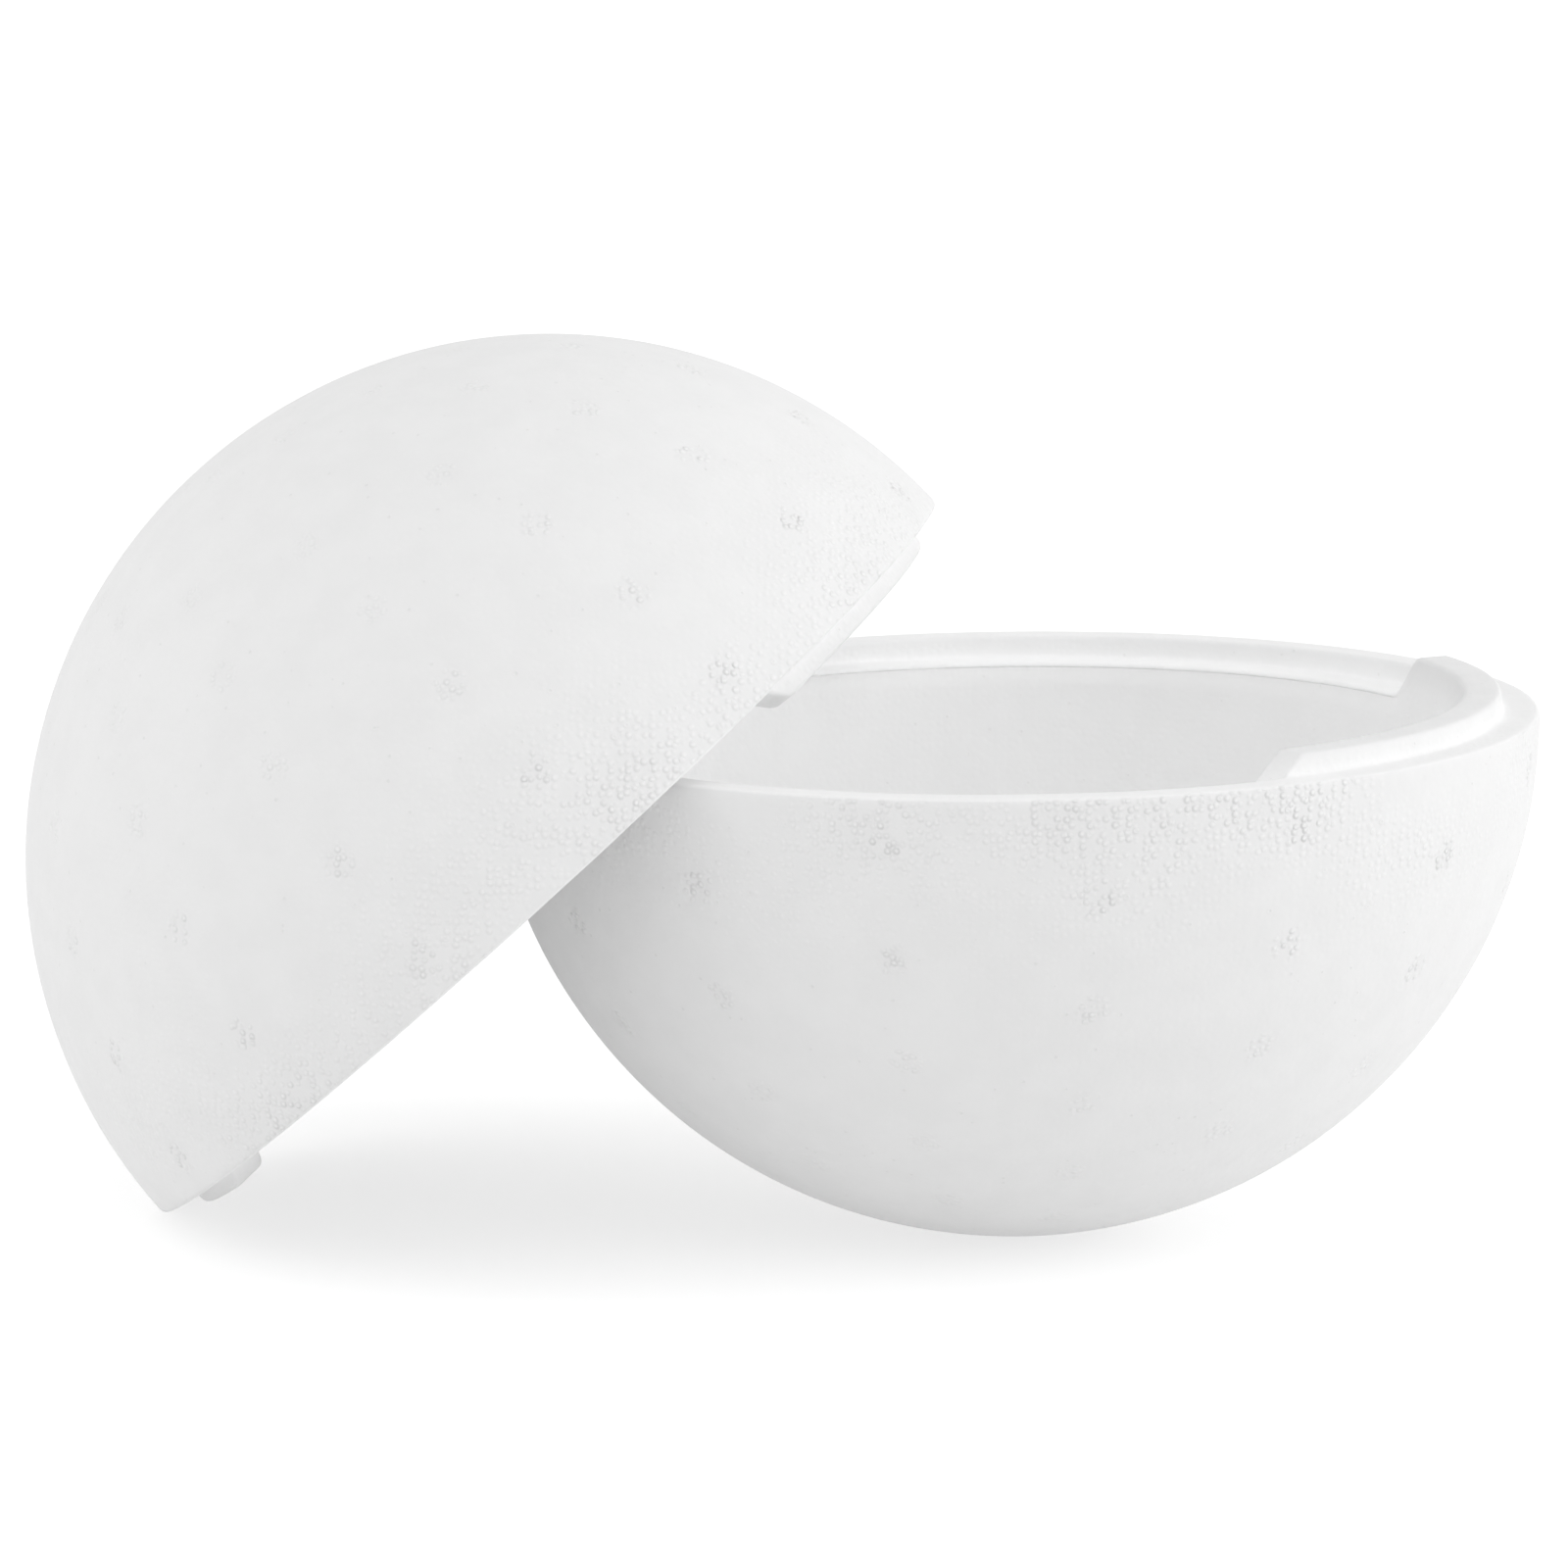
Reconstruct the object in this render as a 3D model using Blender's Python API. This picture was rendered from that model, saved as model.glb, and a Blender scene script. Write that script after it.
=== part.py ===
"""Hollow polystyrene ball that parts into two halves, standing open.

Both halves are the same moulding: a half sphere of foam whose rim has two rings. The outer
ring, the lip, is flat all the way round. The inner ring rises as a tongue over two opposite
stretches and sinks as a groove over the other two, so two halves close when one is turned
over and given a quarter turn. The lower half stands on its pole with its opening up. The
upper half leans on the lower one, with the lowest point of its rim on the same surface.
"""

import math

import bmesh
import bpy
from mathutils import Matrix, Vector
from mathutils.bvhtree import BVHTree

# The moulding, in metres and degrees
BALL_DIAMETER = 0.400
WALL = 0.029
RIM_BELOW_CENTRE = 0.0009
LIP_WIDTH = 0.014
TONGUE_HEIGHT = 0.0080
TONGUE_SPAN_DEG = 85.0
JOINT_CLEARANCE = 0.0003
STEP_DRAFT_DEG = 5.0
RAMP_DEG = 45.0
RIM_ROUNDING = 0.002
STEP_ROUNDING = 0.0018

# How the two halves stand: angles in degrees, the gap in metres
LOWER_TILT_DEG = 1.9
LOWER_SPIN_DEG = -16.5
UPPER_DIP_DEG = 46.3
UPPER_SWING_DEG = -4.3
UPPER_SPIN_DEG = 4.5
UPPER_SIDE_DEG = 3.85
REST_GAP = 0.0003

# Fineness of the mesh
STRETCH_STEPS = 14
SPHERE_STEPS = 13
RIM_STEPS = 3
STEP_CORNER_STEPS = 2
MERGE_DISTANCE = 1e-6
SMOOTH_TO_DEG = 30.0

# How the upper half is slid in until it touches
SLIDE_STEP = BALL_DIAMETER / 100
SLIDE_HALVINGS = 16
EDGE_SAMPLES = 5

FOAM_COLOUR = (0.90, 0.90, 0.90, 1.0)
FOAM_ROUGHNESS = 0.85

# Worked out from the dimensions above
RADIUS = BALL_DIAMETER / 2
HOLLOW_RADIUS = RADIUS - WALL
STEP_RADIUS = RADIUS - LIP_WIDTH
GROOVE_DEPTH = TONGUE_HEIGHT + JOINT_CLEARANCE
STEP_DRAFT = math.tan(math.radians(STEP_DRAFT_DEG))
RAMP_SLOPE = math.tan(math.radians(RAMP_DEG))
QUARTER = math.pi / 2


def rim_columns():
    """Azimuth and inner ring height of each column, with a ramp at each stretch's ends."""
    ring_radius = (STEP_RADIUS + HOLLOW_RADIUS) / 2
    tongue_span = math.radians(TONGUE_SPAN_DEG)
    stretches = ((tongue_span, TONGUE_HEIGHT), (math.pi - tongue_span, -GROOVE_DEPTH))
    start = -tongue_span / 2
    columns = []
    for span, height in stretches * 2:
        ramp = abs(height) / RAMP_SLOPE / ring_radius
        level = span - 2 * ramp
        columns.append((start, 0.0))
        for step in range(STRETCH_STEPS + 1):
            columns.append((start + ramp + level * step / STRETCH_STEPS, height))
        start += span
    return columns


def hollow_radius_at(height):
    """Radius of the hollow at a height over the lip: a sphere, and straight above its middle."""
    below_centre = max(RIM_BELOW_CENTRE - height, 0.0)
    return math.sqrt(HOLLOW_RADIUS**2 - below_centre**2)


def rounded_corner(before, corner, after, radius, steps):
    """Arc that rounds a corner, with its radius held to half of the shorter side."""
    back = before - corner
    ahead = after - corner
    room = min(back.length, ahead.length) / 2
    if room < MERGE_DISTANCE:
        return [corner] * (steps + 1)
    half_angle = back.angle(ahead) / 2
    reach = min(radius / math.tan(half_angle), room)
    start = corner + back.normalized() * reach
    end = corner + ahead.normalized() * reach
    centre = corner + (back.normalized() + ahead.normalized()).normalized() * (reach / math.cos(half_angle))
    turn = (start - centre).angle_signed(end - centre)
    arc = []
    for step in range(steps + 1):
        arm = start - centre
        arm.rotate(Matrix.Rotation(-turn * step / steps, 2))
        arc.append(centre + arm)
    return arc


def outer_side():
    """Outer face of a section, from beside the pole to the flat of the lip."""
    tangent = math.asin((RIM_BELOW_CENTRE + RIM_ROUNDING) / (RADIUS - RIM_ROUNDING))
    points = []
    for step in range(1, SPHERE_STEPS):
        below = QUARTER - (QUARTER - tangent) * step / SPHERE_STEPS
        points.append(Vector((RADIUS * math.cos(below), RIM_BELOW_CENTRE - RADIUS * math.sin(below))))
    centre = Vector(((RADIUS - RIM_ROUNDING) * math.cos(tangent), -RIM_ROUNDING))
    for step in range(RIM_STEPS + 1):
        angle = -tangent + (QUARTER + tangent) * step / RIM_STEPS
        points.append(centre + RIM_ROUNDING * Vector((math.cos(angle), math.sin(angle))))
    return points


def ring_step(lip_edge, height):
    """Step from the lip to the inner ring and over its inner edge."""
    foot_radius = STEP_RADIUS - JOINT_CLEARANCE if height > 0 else STEP_RADIUS
    foot = Vector((foot_radius, 0.0))
    top = Vector((foot_radius - abs(height) * STEP_DRAFT, height))
    edge = Vector((hollow_radius_at(height), height))
    below = Vector((hollow_radius_at(height), height - GROOVE_DEPTH))
    if height == 0.0:
        step = [foot] * (2 * STEP_CORNER_STEPS + 2)
    else:
        step = rounded_corner(lip_edge, foot, top, STEP_ROUNDING, STEP_CORNER_STEPS)
        step += rounded_corner(foot, top, edge, STEP_ROUNDING, STEP_CORNER_STEPS)
    step += rounded_corner(top, edge, below, STEP_ROUNDING, STEP_CORNER_STEPS)
    hollow_top = Vector((hollow_radius_at(0.0), 0.0)) if height > 0 else step[-1]
    return step + [hollow_top]


def inner_side():
    """Wall of the hollow, from under the deepest part of the rim to beside the pole."""
    start = math.asin((RIM_BELOW_CENTRE + GROOVE_DEPTH + STEP_ROUNDING) / HOLLOW_RADIUS)
    points = []
    for step in range(1, SPHERE_STEPS):
        below = start + (QUARTER - start) * step / SPHERE_STEPS
        depth = HOLLOW_RADIUS * math.sin(below) - RIM_BELOW_CENTRE
        points.append(Vector((HOLLOW_RADIUS * math.cos(below), -depth)))
    return points


def half_mesh():
    """The moulding in its own frame: middle of the lip's plane at the origin, opening along +Z."""
    mesh = bmesh.new()
    outer = outer_side()
    inner = inner_side()
    columns = []
    for azimuth, height in rim_columns():
        section = outer + ring_step(outer[-1], height) + inner
        turned = [(p.x * math.cos(azimuth), p.x * math.sin(azimuth), p.y) for p in section]
        columns.append([mesh.verts.new(point) for point in turned])
    outer_pole = mesh.verts.new((0.0, 0.0, RIM_BELOW_CENTRE - RADIUS))
    inner_pole = mesh.verts.new((0.0, 0.0, RIM_BELOW_CENTRE - HOLLOW_RADIUS))
    for index, column in enumerate(columns):
        following = columns[(index + 1) % len(columns)]
        mesh.faces.new((outer_pole, following[0], column[0]))
        mesh.faces.new((inner_pole, column[-1], following[-1]))
        for row in range(len(column) - 1):
            mesh.faces.new((column[row], following[row], following[row + 1], column[row + 1]))
    bmesh.ops.remove_doubles(mesh, verts=mesh.verts, dist=MERGE_DISTANCE)
    bmesh.ops.triangulate(mesh, faces=mesh.faces)
    return mesh


def lower_turn():
    """The lower half leans a little to -X, where the upper half bears on it."""
    return Matrix.Rotation(math.radians(-LOWER_TILT_DEG), 4, "Y") @ spin(LOWER_SPIN_DEG)


def upper_turn():
    """The upper half's opening faces +X and down."""
    swing = Matrix.Rotation(math.radians(UPPER_SWING_DEG), 4, "Z")
    dip = Matrix.Rotation(QUARTER + math.radians(UPPER_DIP_DEG), 4, "Y")
    return swing @ dip @ spin(UPPER_SPIN_DEG)


def spin(degrees):
    return Matrix.Rotation(math.radians(degrees), 4, "Z")


def on_the_floor(mesh, turn, x, y):
    """The turned moulding at x and y, at the height where its lowest point is at zero."""
    lowest = min((turn @ vertex.co).z for vertex in mesh.verts)
    return Matrix.Translation((x, y, -lowest)) @ turn


def edge_points(mesh):
    """Points along every edge, for finding how near two halves are."""
    points = []
    for edge in mesh.edges:
        first, second = edge.verts
        for sample in range(EDGE_SAMPLES):
            points.append(first.co.lerp(second.co, sample / EDGE_SAMPLES))
    return points


def placed_tree(mesh, place):
    vertices = [place @ vertex.co for vertex in mesh.verts]
    faces = [[vertex.index for vertex in face.verts] for face in mesh.faces]
    return BVHTree.FromPolygons(vertices, faces)


def touches(mesh, points, lower_place, upper_place):
    """True where the halves overlap or come nearer than the gap they rest at."""
    lower_tree = placed_tree(mesh, lower_place)
    upper_tree = placed_tree(mesh, upper_place)
    if lower_tree.overlap(upper_tree):
        return True
    for tree, place in ((lower_tree, upper_place), (upper_tree, lower_place)):
        for point in points:
            if tree.find_nearest(place @ point, REST_GAP)[0] is not None:
                return True
    return False


def upper_place_at(mesh, distance):
    """Place of the upper half with its centre this far from the lower half's, in plan."""
    side = math.radians(UPPER_SIDE_DEG)
    return on_the_floor(mesh, upper_turn(), -distance * math.cos(side), distance * math.sin(side))


def lean_upper_half(mesh, lower_place):
    """Slides the upper half in from the side until it rests against the lower one."""
    points = edge_points(mesh)
    clear = BALL_DIAMETER
    while not touches(mesh, points, lower_place, upper_place_at(mesh, clear - SLIDE_STEP)):
        clear -= SLIDE_STEP
    blocked = clear - SLIDE_STEP
    for _ in range(SLIDE_HALVINGS):
        middle = (clear + blocked) / 2
        if touches(mesh, points, lower_place, upper_place_at(mesh, middle)):
            blocked = middle
        else:
            clear = middle
    return upper_place_at(mesh, clear)


def foam_material(name):
    """Matt white foam."""
    material = bpy.data.materials.new(name)
    material.use_nodes = True
    shader = material.node_tree.nodes["Principled BSDF"]
    shader.inputs["Base Color"].default_value = FOAM_COLOUR
    shader.inputs["Roughness"].default_value = FOAM_ROUGHNESS
    shader.inputs["Metallic"].default_value = 0.0
    return material


def add_half(name, mesh, place, parent):
    data = bpy.data.meshes.new(name)
    mesh.to_mesh(data)
    data.materials.append(foam_material(name + "_foam"))
    half = bpy.data.objects.new(name, data)
    bpy.context.scene.collection.objects.link(half)
    half.parent = parent
    half.matrix_basis = place
    for polygon in data.polygons:
        polygon.use_smooth = True
    data.set_sharp_from_angle(angle=math.radians(SMOOTH_TO_DEG))
    return half


def centre_offset(mesh, places):
    """Shift that brings the middle of the pair's box over the origin."""
    corners = [place @ vertex.co for place in places for vertex in mesh.verts]
    middle_x = (min(c.x for c in corners) + max(c.x for c in corners)) / 2
    middle_y = (min(c.y for c in corners) + max(c.y for c in corners)) / 2
    return Vector((-middle_x, -middle_y, 0.0))


def build():
    for thing in list(bpy.data.objects):
        bpy.data.objects.remove(thing)
    mesh = half_mesh()
    mesh.verts.index_update()
    lower_place = on_the_floor(mesh, lower_turn(), 0.0, 0.0)
    upper_place = lean_upper_half(mesh, lower_place)
    ball = bpy.data.objects.new("ball", None)
    ball.location = centre_offset(mesh, (lower_place, upper_place))
    bpy.context.scene.collection.objects.link(ball)
    add_half("lower_half", mesh, lower_place, ball)
    add_half("upper_half", mesh, upper_place, ball)
    mesh.free()


build()
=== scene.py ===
"""Looks of the hollow polystyrene ball: both halves as fine meshes of moulded bead foam.

Metres, +Z up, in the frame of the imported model. Each half is the same moulding as its solid,
with finer curves, round vent marks set into its skin and the small unevenness of foam. The
beads are drawn by the material, and stand out most near the rim and over the vents.
"""

import math

import bpy
import numpy as np
from mathutils import Matrix, Vector


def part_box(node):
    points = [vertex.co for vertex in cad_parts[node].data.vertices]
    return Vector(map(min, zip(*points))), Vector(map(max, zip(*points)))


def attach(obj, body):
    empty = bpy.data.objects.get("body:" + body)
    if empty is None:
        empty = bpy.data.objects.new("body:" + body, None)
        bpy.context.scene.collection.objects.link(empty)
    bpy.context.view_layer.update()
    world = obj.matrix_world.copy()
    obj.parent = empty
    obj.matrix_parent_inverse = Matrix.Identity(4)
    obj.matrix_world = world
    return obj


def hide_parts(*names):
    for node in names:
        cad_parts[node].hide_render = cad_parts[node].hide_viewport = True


# The moulding, as in the solids
BALL_DIAMETER = 0.400
WALL = 0.029
RIM_BELOW_CENTRE = 0.0009
LIP_WIDTH = 0.014
TONGUE_HEIGHT = 0.0080
TONGUE_SPAN_DEG = 85.0
JOINT_CLEARANCE = 0.0003
STEP_DRAFT_DEG = 5.0
RAMP_DEG = 45.0
RIM_ROUNDING = 0.002
STEP_ROUNDING = 0.0018
RAMP_ROUNDING = 0.0022

# How the two halves stand, in degrees
LOWER_TILT_DEG = 1.9
LOWER_SPIN_DEG = -16.5
UPPER_DIP_DEG = 46.3
UPPER_SWING_DEG = -4.3
UPPER_SPIN_DEG = 4.5

# Fineness of the mesh: points round a half, and the steps along its section
COLUMNS = 640
POLE_COLUMNS = 32
THIN_OUT_RADIUS = 0.110
OUTER_STEP = 0.0024
INNER_STEP = 0.0075
FLAT_STEP = 0.0028
CORNER_STEPS = 3
SAME_POINT = 1e-6
STRAIGHT = 0.9999

# Vent marks: round patches of the mould's steam vents, in staggered rows
VENT_COLUMNS = 16
VENT_TURN_DEG = 2.1
VENT_FIRST_DEG = 5.0
VENT_STAGGER_DEG = 6.2
VENT_PITCH_DEG = 13.0
VENT_ROWS = 7
VENT_THIN_OUT = 0.6  # share of the way to the pole after which every other mark is left out
VENT_LAST = 0.95  # share of the way to the pole after which there are none
VENT_RADIUS = 0.0068
VENT_EDGE = 0.25  # soft edge, as a share of the radius
VENT_DEPTH = 0.00008

# Unevenness of the skin, all of it inwards from the solid
SKIN_DEPTH = 0.001  # what lies nearer than this to the outer sphere counts as its skin
SKIN_INSET = 0.00012
SKIN_WAVE = 0.00025
SKIN_WAVE_LENGTH = 0.075
RIM_WAVE = 0.00012
RIM_WAVE_LENGTH = 0.022
BOWL_SEED = 56
DOME_SEED = 0
FINE_SEED_STEP = 7

# Value noise: its cells are counted from well outside the ball, and large factors mix their numbers
NOISE_OFFSET = 100.0
CELL_FACTORS = (73856093, 19349663, 83492791)
SEED_FACTOR = 2654435
MIX_FACTOR = 1274126177
LOW_32_BITS = 0xFFFFFFFF
LOW_16_BITS = 0xFFFF
HALF_OF_16_BITS = 0x7FFF

# Beads: their pitch and height, and how far they show through the skin, from 0 to 1
BEAD = 0.0029
BEAD_HEIGHT = 0.00085
SKIN_RELIEF = 0.06
HOLLOW_RELIEF = 0.10
RIM_RELIEF = 0.70
VENT_RELIEF = 0.90  # near the rim
VENT_RELIEF_FAR = 0.40  # towards the pole
VENT_FADE = 0.090
RIM_BAND = 0.040
PATCH_LENGTH = 0.045
PATCH_MEAN = 0.6
PATCH_SWING = 0.9
BOWL_BEAD_SHIFT = 0.31
DOME_BEAD_SHIFT = 1.17

# One bead: radii are shares of its pitch, and heights are shares of BEAD_HEIGHT
BEAD_RANDOMNESS = 0.6
BEAD_EDGE = 0.60
BEAD_CROWN = 0.12
BEAD_LOWEST = 0.65
PIT_CHANCE = 0.045
PIT_EDGE = 0.30
PIT_BOTTOM = 0.10
PIT_DEPTH = 0.16

# Soft dimples all over, as high as this share of BEAD_HEIGHT
DIMPLE_HEIGHT = 0.32
DIMPLE_LENGTH = 0.0065
DIMPLE_DETAIL = 1.0

# Finish, with painted light in the hollow and on the beads, and painted shade in the pits
SKIN_COLOUR = 0.835
TONGUE_COLOUR = 0.83
# Painted light: the hollow is painted paler than the skin's foam, falling off over the groove
HOLLOW_PAINTED_LIGHT_COLOUR = 0.98
MOTTLE_LENGTH = 0.020
MOTTLE_DETAIL = 2.0
MOTTLE_RANGE = (0.3, 0.7)
MOTTLE_SHADE = 0.008
# Painted shade: pits are painted darker, as shade in these small hollows
PIT_PAINTED_SHADE = 0.05
# Painted light and shade: bead tops painted paler and the gaps between beads painted darker
BEAD_PAINTED_LIGHT = 0.06
BEAD_PAINTED_LIGHT_FROM = 0.12  # height over which a bead's top is painted paler than the skin, and under which painted darker
FOAM_ROUGHNESS = 0.80
ROUGHNESS_SPREAD = 0.08
FOAM_GLOSS = 0.25
WHITE = (1, 1, 1, 1)

# Picture: the photograph is 1600 by 1600 pixels, and its dip and roll are in radians
IMAGE_SIZE = 1600
SENSOR_MM = 36.0
CAMERA_FOCAL_PX = 10236
CAMERA_DISTANCE = 3.80
CAMERA_DIP = 0.1681
CAMERA_ROLL = -0.0201
CAMERA_FAR_END = 100
BOWL_CENTRE_PX = (1032.0, 723.2)

# Light, as shares of the level at which white paper is just white
WORLD_AHEAD = 0.60
WORLD_ASIDE = 1.16
RIGHT_STRENGTH = 0.31
RIGHT_FROM = (0.97, -0.10, 0.20)
LEFT_STRENGTH = 0.11
LEFT_FROM = (-0.97, -0.05, 0.20)
FRONT_STRENGTH = 0.16
FRONT_FROM = (0.05, -0.42, 0.90)
LAMP_SPREAD_DEG = 60.0
FLOOR_COLOUR = 0.60
FLOOR_FILL = 0.33  # glow that lights the undersides
FLOOR_GLOW = 0.20  # what it glows more where it is seen
FLOOR_ROUGHNESS = 1.0
FLOOR_GLOSS = 0.0
FLOOR_SIZE = 30.0
FLOOR_DROP = 0.0002

# Worked out from the dimensions above
RADIUS = BALL_DIAMETER / 2
HOLLOW_RADIUS = RADIUS - WALL
STEP_RADIUS = RADIUS - LIP_WIDTH
GROOVE_DEPTH = TONGUE_HEIGHT + JOINT_CLEARANCE
STEP_DRAFT = math.tan(math.radians(STEP_DRAFT_DEG))
RAMP_SLOPE = math.tan(math.radians(RAMP_DEG))
QUARTER = math.pi / 2


def ring_height(azimuth):
    """Height of the inner ring over the lip, with rounded ramps between tongue and groove."""
    ring_radius = (STEP_RADIUS + HOLLOW_RADIUS) / 2
    turned = (azimuth + QUARTER) % math.pi - QUARTER
    past_end = (math.radians(TONGUE_SPAN_DEG) / 2 - abs(turned)) * ring_radius
    slope = past_end * RAMP_SLOPE
    upper = smooth_limit(slope, TONGUE_HEIGHT, RAMP_ROUNDING)
    return -smooth_limit(-upper, GROOVE_DEPTH, RAMP_ROUNDING)


def smooth_limit(value, limit, rounding):
    """The lower of the two, blended where they come nearer than the rounding."""
    blend = max(rounding - abs(value - limit), 0.0) / rounding
    return min(value, limit) - blend * blend * rounding / 4


def hollow_radius_at(height):
    """Radius of the hollow at a height over the lip: a sphere, and straight above its middle."""
    below_centre = max(RIM_BELOW_CENTRE - height, 0.0)
    return math.sqrt(HOLLOW_RADIUS**2 - below_centre**2)


def rounded_corner(before, corner, after, radius):
    """Arc that rounds a corner, with its radius held to half of the shorter side."""
    back = before - corner
    ahead = after - corner
    room = min(back.length, ahead.length) / 2
    if room < SAME_POINT or abs(back.normalized().dot(ahead.normalized())) > STRAIGHT:
        return [corner] * (CORNER_STEPS + 1)
    half_angle = back.angle(ahead) / 2
    reach = min(radius / math.tan(half_angle), room)
    start = corner + back.normalized() * reach
    bisector = (back.normalized() + ahead.normalized()).normalized()
    centre = corner + bisector * (reach / math.cos(half_angle))
    arm = start - centre
    turn = arm.angle_signed(corner + ahead.normalized() * reach - centre)
    arc = []
    for step in range(CORNER_STEPS + 1):
        turned = arm.copy()
        turned.rotate(Matrix.Rotation(-turn * step / CORNER_STEPS, 2))
        arc.append(centre + turned)
    return arc


def line(start, end, steps):
    """Points between two corners, without the corners themselves."""
    return [start.lerp(end, step / steps) for step in range(1, steps)]


def sphere_arc(radius, first, last, steps):
    """Section of a sphere about the ball's centre, from one angle under its middle to another."""
    points = []
    for step in range(steps):
        below = first + (last - first) * step / steps
        points.append(Vector((radius * math.cos(below), RIM_BELOW_CENTRE - radius * math.sin(below))))
    return points


def outer_section():
    """Outer face from beside the pole up to the lip's outer edge."""
    tangent = math.asin((RIM_BELOW_CENTRE + RIM_ROUNDING) / (RADIUS - RIM_ROUNDING))
    steps = round((QUARTER - tangent) * RADIUS / OUTER_STEP)
    points = sphere_arc(RADIUS, QUARTER, tangent, steps)[1:]
    centre = Vector(((RADIUS - RIM_ROUNDING) * math.cos(tangent), -RIM_ROUNDING))
    for step in range(CORNER_STEPS + 1):
        angle = -tangent + (QUARTER + tangent) * step / CORNER_STEPS
        points.append(centre + RIM_ROUNDING * Vector((math.cos(angle), math.sin(angle))))
    return points


def rim_section(lip_edge, height):
    """Across the lip, up or down the step and over the inner ring's edge."""
    tongue_share = min(max(height / TONGUE_HEIGHT, 0.0), 1.0)
    foot_radius = STEP_RADIUS - JOINT_CLEARANCE * tongue_share
    foot = Vector((foot_radius, 0.0))
    top = Vector((foot_radius - abs(height) * STEP_DRAFT, height))
    edge = Vector((hollow_radius_at(height), height))
    below = Vector((hollow_radius_at(height), height - GROOVE_DEPTH))
    steps_across = round(LIP_WIDTH / FLAT_STEP)
    foot_arc = rounded_corner(lip_edge, foot, top, STEP_ROUNDING)
    top_arc = rounded_corner(foot, top, edge, STEP_ROUNDING)
    edge_arc = rounded_corner(top, edge, below, STEP_ROUNDING)
    section = line(lip_edge, foot_arc[0], steps_across) + foot_arc
    section += line(foot_arc[-1], top_arc[0], CORNER_STEPS) + top_arc
    section += line(top_arc[-1], edge_arc[0], steps_across) + edge_arc
    seat = Vector((hollow_radius_at(0.0), -GROOVE_DEPTH - STEP_ROUNDING))
    section += line(edge_arc[-1], seat, CORNER_STEPS)
    return section


def inner_section():
    """Wall of the hollow from under the deepest part of the rim to beside the pole."""
    start = math.asin((RIM_BELOW_CENTRE + GROOVE_DEPTH + STEP_ROUNDING) / HOLLOW_RADIUS)
    steps = round((QUARTER - start) * HOLLOW_RADIUS / INNER_STEP)
    return sphere_arc(HOLLOW_RADIUS, start, QUARTER, steps)


def ring_columns(radius):
    """Number of points round a ring: halved towards the poles, so that the faces stay even."""
    columns = COLUMNS
    while columns > POLE_COLUMNS and radius < THIN_OUT_RADIUS * columns / COLUMNS:
        columns //= 2
    return columns


def half_points():
    """Rings of points of one half, from the outer pole over the rim to the inner pole."""
    outer = outer_section()
    inner = inner_section()
    rings = []
    for point in outer:
        rings.append(turned_ring([point] * ring_columns(point.x)))
    sections = [rim_section(outer[-1], ring_height(math.tau * c / COLUMNS)) for c in range(COLUMNS)]
    for row in range(len(sections[0])):
        rings.append(turned_ring([section[row] for section in sections]))
    for point in inner:
        rings.append(turned_ring([point] * ring_columns(point.x)))
    return rings


def turned_ring(points):
    """Ring of points, one for each given point of the section, evenly turned about the axis."""
    azimuths = [math.tau * index / len(points) for index in range(len(points))]
    return [(p.x * math.cos(a), p.x * math.sin(a), p.y) for p, a in zip(points, azimuths)]


def stitch(faces, first, second):
    """Faces between two rings of vertex numbers, the same length or one twice the other."""
    if len(first) == len(second):
        for i, (a, b) in enumerate(zip(first, second)):
            j = (i + 1) % len(first)
            faces.append((a, first[j], second[j], b))
        return
    coarse, fine = (first, second) if len(first) < len(second) else (second, first)
    for i, a in enumerate(coarse):
        b = coarse[(i + 1) % len(coarse)]
        low, middle, high = fine[2 * i], fine[2 * i + 1], fine[(2 * i + 2) % len(fine)]
        made = [(a, middle, low), (a, b, middle), (b, high, middle)]
        if coarse is second:
            made = [tuple(reversed(face)) for face in made]
        faces.extend(made)


def half_faces(rings):
    """Vertices and faces of the closed half, with a pole at each end."""
    points = [(0.0, 0.0, RIM_BELOW_CENTRE - RADIUS)]
    numbers = []
    for ring in rings:
        numbers.append(list(range(len(points), len(points) + len(ring))))
        points.extend(ring)
    points.append((0.0, 0.0, RIM_BELOW_CENTRE - HOLLOW_RADIUS))
    faces = []
    first, last = numbers[0], numbers[-1]
    for i in range(len(first)):
        faces.append((0, first[(i + 1) % len(first)], first[i]))
    for lower, upper in zip(numbers, numbers[1:]):
        stitch(faces, lower, upper)
    for i in range(len(last)):
        faces.append((len(points) - 1, last[i], last[(i + 1) % len(last)]))
    return np.array(points), faces


def vent_directions():
    """Unit directions from the ball's centre to each vent mark of a half."""
    directions = []
    for column in range(VENT_COLUMNS):
        azimuth = math.radians(VENT_TURN_DEG) + math.tau * column / VENT_COLUMNS
        first = VENT_FIRST_DEG + VENT_STAGGER_DEG * (column % 2)
        for row in range(VENT_ROWS):
            below = math.radians(first + VENT_PITCH_DEG * row)
            thinned_out = below > QUARTER * VENT_THIN_OUT and (column // 2 + row) % 2
            if below > QUARTER * VENT_LAST or thinned_out:
                continue
            flat = math.cos(below)
            directions.append((flat * math.cos(azimuth), flat * math.sin(azimuth), -math.sin(below)))
    return np.array(directions)


def smooth_noise(points, length, seed):
    """Value noise between -1 and 1, the same on every run."""
    scaled = points / length + NOISE_OFFSET
    base = np.floor(scaled).astype(np.int64)
    part = scaled - base
    part = part * part * (3 - 2 * part)
    total = np.zeros(len(points))
    for corner in range(8):
        step = np.array([corner & 1, corner >> 1 & 1, corner >> 2 & 1])
        share = np.prod(np.where(step, part, 1 - part), axis=1)
        cell = base + step
        mixed = cell @ np.array(CELL_FACTORS) + seed * SEED_FACTOR
        mixed = (mixed ^ mixed >> 13) * MIX_FACTOR & LOW_32_BITS
        mixed = (mixed ^ mixed >> 16) & LOW_16_BITS
        total += share * (mixed / HALF_OF_16_BITS - 1)
    return total


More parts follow.
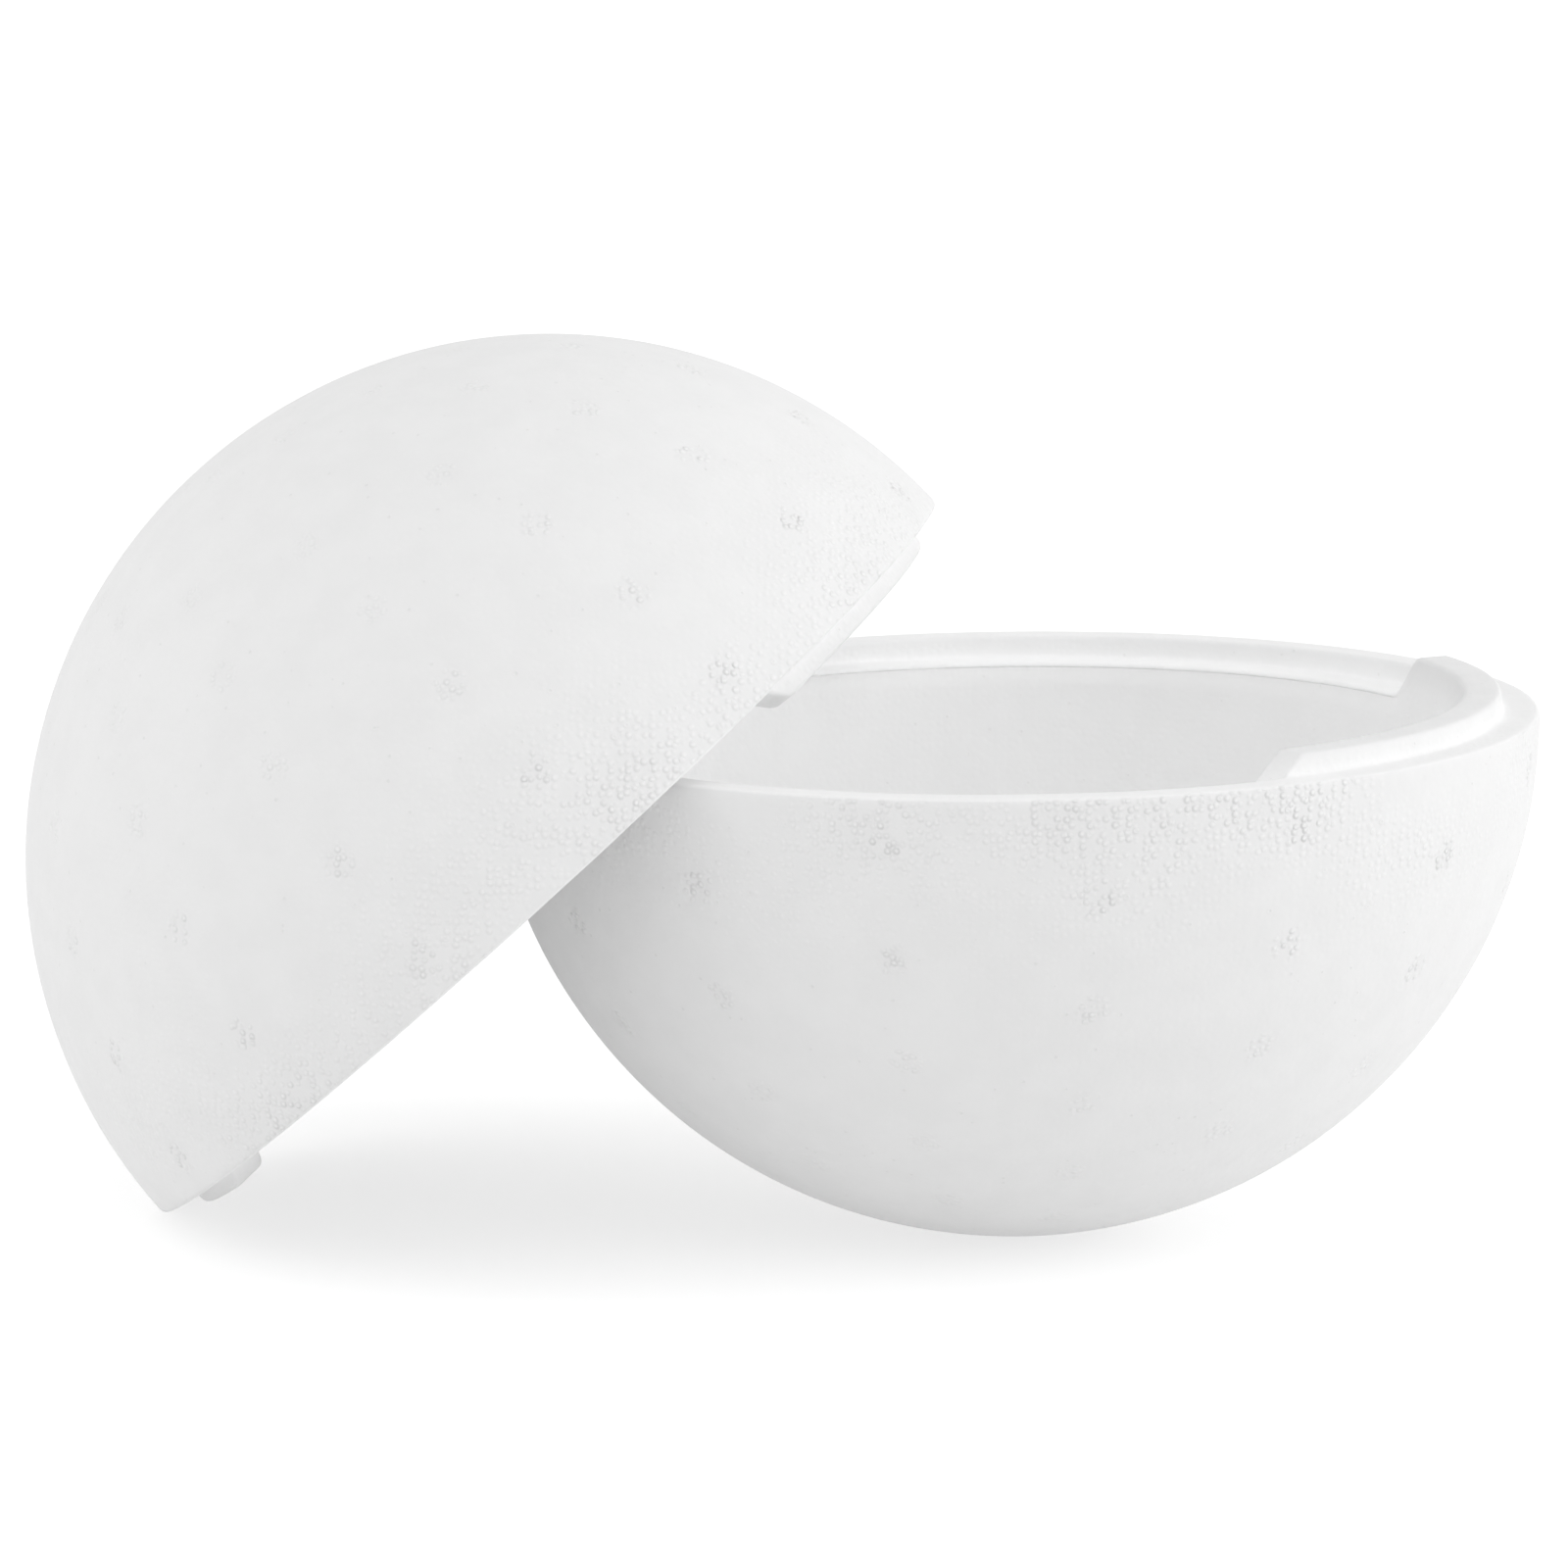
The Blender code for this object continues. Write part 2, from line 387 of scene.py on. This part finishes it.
def from_centre(points):
    """Distance of each point from the ball's centre, and the unit direction to it."""
    centred = points - np.array([0.0, 0.0, RIM_BELOW_CENTRE])
    reach = np.linalg.norm(centred, axis=1)
    return reach, centred / reach[:, None]


def on_outer_skin(points):
    """True for the points on the outer sphere or less than SKIN_DEPTH inside it."""
    reach, _ = from_centre(points)
    return reach > RADIUS - SKIN_DEPTH


def vent_share(points):
    """1 in the middle of a vent mark and 0 outside it. Only the outer skin has them."""
    _, unit = from_centre(points)
    nearest = (unit @ vent_directions().T).max(axis=1)
    away = np.arccos(np.clip(nearest, -1, 1)) * RADIUS
    share = np.clip((VENT_RADIUS - away) / (VENT_EDGE * VENT_RADIUS), 0, 1)
    return share * on_outer_skin(points)


def skin_shape(points, seed):
    """Moves the smooth points by the unevenness of the foam, into the solid."""
    reach, unit = from_centre(points)
    outside = reach > (RADIUS + HOLLOW_RADIUS) / 2
    side = np.where(outside, -1.0, 1.0)
    wave = (smooth_noise(points, SKIN_WAVE_LENGTH, seed) + 1) / 2 * SKIN_WAVE
    fine = (smooth_noise(points, RIM_WAVE_LENGTH, seed + FINE_SEED_STEP) + 1) / 2 * RIM_WAVE
    inward = side * (SKIN_INSET + wave + fine + vent_share(points) * VENT_DEPTH)
    on_rim = points[:, 2] > -GROOVE_DEPTH - RIM_ROUNDING
    flat_rim = on_rim & (reach < RADIUS - RIM_ROUNDING / 2)
    moved = points + unit * np.where(flat_rim, 0.0, inward)[:, None]
    moved[:, 2] -= np.where(flat_rim, fine, 0.0)
    return moved


def bead_relief(points, seed):
    """How much the beads stand out: most over the vents and in a patchy band under the rim."""
    depth = np.clip(-points[:, 2] / RIM_BAND, 0, None)
    patchy = np.clip(PATCH_MEAN + PATCH_SWING * smooth_noise(points, PATCH_LENGTH, seed), 0, 1)
    band = np.exp(-depth**2) * patchy
    near_rim = np.exp(-(points[:, 2] / VENT_FADE) ** 2)
    vents = (VENT_RELIEF_FAR + (VENT_RELIEF - VENT_RELIEF_FAR) * near_rim) * vent_share(points)
    on_skin = SKIN_RELIEF + RIM_RELIEF * band + vents
    return np.where(on_outer_skin(points), np.clip(on_skin, 0, 1), HOLLOW_RELIEF)


def foam_shade_with_painted_light(points):
    """Whitest in the hollow and groove, as painted light, and near the skin's shade at the tongue's top.
    """
    out_of_groove = np.clip((points[:, 2] + GROOVE_DEPTH) / (GROOVE_DEPTH + TONGUE_HEIGHT), 0, 1)
    inside = HOLLOW_PAINTED_LIGHT_COLOUR + (TONGUE_COLOUR - HOLLOW_PAINTED_LIGHT_COLOUR) * out_of_groove
    return np.where(on_outer_skin(points), SKIN_COLOUR, inside)


def half_piece(name, node, turn, seed, material):
    """One half as a fine mesh, standing where its solid stands. Gives its ball's centre."""
    points, faces = half_faces(half_points())
    turned = skin_shape(points, seed) @ np.array(turn.to_3x3()).T
    low, high = (np.array(corner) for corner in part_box(node))
    offset = (low + high - turned.min(axis=0) - turned.max(axis=0)) / 2
    offset[2] = low[2] - turned[:, 2].min()
    mesh = bpy.data.meshes.new(name)
    mesh.from_pydata((turned + offset).tolist(), [], faces)
    looks = {"bead_relief": bead_relief(points, seed), "shade_with_painted_light": foam_shade_with_painted_light(points)}
    for title, values in looks.items():
        attribute = mesh.attributes.new(title, "FLOAT", "POINT")
        attribute.data.foreach_set("value", values.astype(np.float32))
    mesh.shade_smooth()
    mesh.materials.append(material)
    piece = bpy.data.objects.new(name, mesh)
    bpy.context.scene.collection.objects.link(piece)
    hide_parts(node)
    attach(piece, "root")
    return Vector(offset) + turn @ Vector((0.0, 0.0, RIM_BELOW_CENTRE))


def turn_about(axis, degrees):
    """Turn about one of the frame's axes."""
    return Matrix.Rotation(math.radians(degrees), 4, axis)


def lower_turn():
    """The bowl: spun about its own axis, then tilted towards the dome."""
    return turn_about("Y", -LOWER_TILT_DEG) @ turn_about("Z", LOWER_SPIN_DEG)


def upper_turn():
    """The dome: spun about its own axis, tipped over, then swung round on the surface."""
    dip = turn_about("Y", 90 + UPPER_DIP_DEG)
    return turn_about("Z", UPPER_SWING_DEG) @ dip @ turn_about("Z", UPPER_SPIN_DEG)


def math_node(tree, operation, first, second):
    """Sum, product or the like of two values, each a number or another node's output."""
    made = tree.nodes.new("ShaderNodeMath")
    made.operation = operation
    for socket, value in zip(made.inputs, (first, second)):
        if isinstance(value, (int, float)):
            socket.default_value = value
        else:
            tree.links.new(value, socket)
    return made.outputs[0]


def remap(tree, value, low, high, to_low, to_high):
    """Smooth step from one range to another, held at its ends."""
    made = tree.nodes.new("ShaderNodeMapRange")
    made.interpolation_type = "SMOOTHSTEP"
    tree.links.new(value, made.inputs["Value"])
    made.inputs["From Min"].default_value = low
    made.inputs["From Max"].default_value = high
    made.inputs["To Min"].default_value = to_low
    made.inputs["To Max"].default_value = to_high
    return made.outputs["Result"]


def noise(tree, vector, length, detail):
    """Soft noise between 0 and 1, whose lumps are about one length apart."""
    made = tree.nodes.new("ShaderNodeTexNoise")
    made.inputs["Scale"].default_value = 1 / length
    made.inputs["Detail"].default_value = detail
    tree.links.new(vector, made.inputs["Vector"])
    return made.outputs["Fac"]


def mesh_value(tree, name):
    """What the mesh holds under that name for each of its points."""
    attribute = tree.nodes.new("ShaderNodeAttribute")
    attribute.attribute_name = name
    return attribute.outputs["Fac"]


def foam_material(name, shift):
    """Bead foam: a smooth pressed skin through which round beads show, with odd pits, and painted light
    and shade.
    """
    material = bpy.data.materials.new(name)
    material.use_nodes = True
    tree = material.node_tree
    shader = tree.nodes["Principled BSDF"]
    mapping = tree.nodes.new("ShaderNodeMapping")
    mapping.inputs["Location"].default_value = (shift, shift, shift)
    tree.links.new(tree.nodes.new("ShaderNodeTexCoord").outputs["Object"], mapping.inputs["Vector"])
    where = mapping.outputs["Vector"]
    relief = mesh_value(tree, "bead_relief")

    beads = tree.nodes.new("ShaderNodeTexVoronoi")
    beads.inputs["Scale"].default_value = 1 / BEAD
    beads.inputs["Randomness"].default_value = BEAD_RANDOMNESS
    tree.links.new(where, beads.inputs["Vector"])
    from_middle = beads.outputs["Distance"]
    chance = tree.nodes.new("ShaderNodeSeparateColor")
    tree.links.new(beads.outputs["Color"], chance.inputs["Color"])
    own_height = remap(tree, chance.outputs["Red"], 0.0, 1.0, BEAD_LOWEST, 1.0)
    round_top = remap(tree, from_middle, BEAD_EDGE, BEAD_CROWN, 0.0, 1.0)
    dot = math_node(tree, "MULTIPLY", round_top, own_height)
    has_pit = math_node(tree, "GREATER_THAN", chance.outputs["Green"], 1 - PIT_CHANCE)
    pit = math_node(tree, "MULTIPLY", remap(tree, from_middle, PIT_EDGE, PIT_BOTTOM, 0.0, 1.0), has_pit)

    lumps = noise(tree, where, DIMPLE_LENGTH, DIMPLE_DETAIL)
    dimples = math_node(tree, "MULTIPLY", lumps, DIMPLE_HEIGHT)
    height = math_node(tree, "ADD", math_node(tree, "MULTIPLY", dot, relief), dimples)
    height = math_node(tree, "SUBTRACT", height, math_node(tree, "MULTIPLY", pit, PIT_DEPTH))
    bump = tree.nodes.new("ShaderNodeBump")
    bump.inputs["Distance"].default_value = BEAD_HEIGHT
    tree.links.new(height, bump.inputs["Height"])
    tree.links.new(bump.outputs["Normal"], shader.inputs["Normal"])

    clouds = noise(tree, where, MOTTLE_LENGTH, MOTTLE_DETAIL)
    mottle = remap(tree, clouds, *MOTTLE_RANGE, -MOTTLE_SHADE, MOTTLE_SHADE)
    # The mesh's shade holds the foam's own shade and the hollow's painted light
    shade = math_node(tree, "ADD", mesh_value(tree, "shade_with_painted_light"), mottle)
    # Painted shade in the pits
    shade = math_node(tree, "SUBTRACT", shade, math_node(tree, "MULTIPLY", pit, PIT_PAINTED_SHADE))
    # Painted light on the bead tops and painted shade in the gaps, as strong as the beads stand out
    painted_bead_light = math_node(tree, "MULTIPLY", math_node(tree, "SUBTRACT", dot, BEAD_PAINTED_LIGHT_FROM), relief)
    shade = math_node(tree, "ADD", shade, math_node(tree, "MULTIPLY", painted_bead_light, BEAD_PAINTED_LIGHT))
    colour = tree.nodes.new("ShaderNodeCombineColor")
    for channel in ("Red", "Green", "Blue"):
        tree.links.new(shade, colour.inputs[channel])
    tree.links.new(colour.outputs["Color"], shader.inputs["Base Color"])
    smoothest = FOAM_ROUGHNESS - ROUGHNESS_SPREAD
    roughest = FOAM_ROUGHNESS + ROUGHNESS_SPREAD
    rough = remap(tree, chance.outputs["Blue"], 0.0, 1.0, smoothest, roughest)
    tree.links.new(rough, shader.inputs["Roughness"])
    shader.inputs["Specular IOR Level"].default_value = FOAM_GLOSS
    return material


def floor_piece():
    """Pale matt table with a soft glow of its own: it keeps the shadow and fills the undersides."""
    mesh = bpy.data.meshes.new("floor")
    corners = [(x * FLOOR_SIZE, y * FLOOR_SIZE, 0) for x, y in ((-1, -1), (1, -1), (1, 1), (-1, 1))]
    mesh.from_pydata(corners, [], [(0, 1, 2, 3)])
    floor = bpy.data.objects.new("floor", mesh)
    floor.location.z = -FLOOR_DROP
    bpy.context.scene.collection.objects.link(floor)
    material = bpy.data.materials.new("floor_paper")
    material.use_nodes = True
    tree = material.node_tree
    shader = tree.nodes["Principled BSDF"]
    shader.inputs["Base Color"].default_value = (FLOOR_COLOUR, FLOOR_COLOUR, FLOOR_COLOUR, 1)
    shader.inputs["Roughness"].default_value = FLOOR_ROUGHNESS
    shader.inputs["Specular IOR Level"].default_value = FLOOR_GLOSS
    shader.inputs["Emission Color"].default_value = WHITE
    glow = math_node(tree, "MULTIPLY", seen_rays(tree), FLOOR_GLOW)
    tree.links.new(math_node(tree, "ADD", glow, FLOOR_FILL), shader.inputs["Emission Strength"])
    mesh.materials.append(material)


def seen_rays(tree):
    """1 for what the camera sees directly, in a reflection or through something clear."""
    path = tree.nodes.new("ShaderNodeLightPath")
    seen = math_node(tree, "MAXIMUM", path.outputs["Is Camera Ray"], path.outputs["Is Glossy Ray"])
    return math_node(tree, "MAXIMUM", seen, path.outputs["Is Transmission Ray"])


def studio_world():
    """Soft light from all round, strongest from the two sides, with a white background."""
    world = bpy.data.worlds.new("studio")
    world.use_nodes = True
    bpy.context.scene.world = world
    tree = world.node_tree
    background = tree.nodes["Background"]
    background.inputs["Color"].default_value = WHITE
    direction = tree.nodes.new("ShaderNodeSeparateXYZ")
    tree.links.new(tree.nodes.new("ShaderNodeTexCoord").outputs["Generated"], direction.inputs["Vector"])
    sideways = math_node(tree, "MULTIPLY", direction.outputs["X"], direction.outputs["X"])
    light = remap(tree, sideways, 0.0, 1.0, WORLD_AHEAD, WORLD_ASIDE)
    tree.links.new(light, background.inputs["Strength"])
    white = tree.nodes.new("ShaderNodeBackground")
    white.inputs["Color"].default_value = WHITE
    mix = tree.nodes.new("ShaderNodeMixShader")
    tree.links.new(seen_rays(tree), mix.inputs["Fac"])
    tree.links.new(background.outputs["Background"], mix.inputs[1])
    tree.links.new(white.outputs["Background"], mix.inputs[2])
    tree.links.new(mix.outputs["Shader"], tree.nodes["World Output"].inputs["Surface"])


def soft_sun(name, come_from, strength):
    """Wide soft lamp, as even as a big soft box far away; strength is its share of full white."""
    data = bpy.data.lights.new(name, "SUN")
    data.energy = strength * math.pi
    data.angle = math.radians(LAMP_SPREAD_DEG)
    lamp = bpy.data.objects.new(name, data)
    lamp.rotation_mode = "QUATERNION"
    lamp.rotation_quaternion = Vector(come_from).to_track_quat("Z", "Y")
    bpy.context.scene.collection.objects.link(lamp)


def photo_camera(bowl_centre):
    """Camera that sees the bowl's middle at its pixel, at the photograph's distance and dip."""
    forward = Vector((0, math.cos(CAMERA_DIP), -math.sin(CAMERA_DIP)))
    down = Vector((0, -math.sin(CAMERA_DIP), -math.cos(CAMERA_DIP)))
    right = Vector((1, 0, 0))
    cos_roll, sin_roll = math.cos(CAMERA_ROLL), math.sin(CAMERA_ROLL)
    image_x = cos_roll * right + sin_roll * down
    image_y = -sin_roll * right + cos_roll * down
    across = (BOWL_CENTRE_PX[0] - IMAGE_SIZE / 2) / CAMERA_FOCAL_PX * CAMERA_DISTANCE
    along = (BOWL_CENTRE_PX[1] - IMAGE_SIZE / 2) / CAMERA_FOCAL_PX * CAMERA_DISTANCE
    place = bowl_centre - across * image_x - along * image_y - CAMERA_DISTANCE * forward
    data = bpy.data.cameras.new("camera")
    data.sensor_width = SENSOR_MM
    data.lens = CAMERA_FOCAL_PX / IMAGE_SIZE * SENSOR_MM
    data.clip_end = CAMERA_FAR_END
    camera = bpy.data.objects.new("camera", data)
    rows = (image_x, -image_y, -forward)
    turn = Matrix([[row[i] for row in rows] for i in range(3)]).to_4x4()
    camera.matrix_world = Matrix.Translation(place) @ turn
    bpy.context.scene.collection.objects.link(camera)
    bpy.context.scene.camera = camera


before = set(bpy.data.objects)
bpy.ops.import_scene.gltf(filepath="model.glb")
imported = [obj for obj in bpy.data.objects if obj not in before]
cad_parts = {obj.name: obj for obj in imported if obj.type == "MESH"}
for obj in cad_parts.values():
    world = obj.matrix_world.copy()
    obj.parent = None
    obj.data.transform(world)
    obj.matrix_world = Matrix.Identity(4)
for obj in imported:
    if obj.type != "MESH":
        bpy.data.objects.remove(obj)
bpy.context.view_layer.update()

bowl_foam = foam_material("bowl_foam", BOWL_BEAD_SHIFT)
bowl_centre = half_piece("bowl_half", "lower_half", lower_turn(), BOWL_SEED, bowl_foam)
dome_foam = foam_material("dome_foam", DOME_BEAD_SHIFT)
half_piece("dome_half", "upper_half", upper_turn(), DOME_SEED, dome_foam)

bpy.context.scene.view_settings.view_transform = "Standard"
photo_camera(bowl_centre)
floor_piece()
studio_world()
soft_sun("right_lamp", RIGHT_FROM, RIGHT_STRENGTH)
soft_sun("left_lamp", LEFT_FROM, LEFT_STRENGTH)
soft_sun("front_lamp", FRONT_FROM, FRONT_STRENGTH)
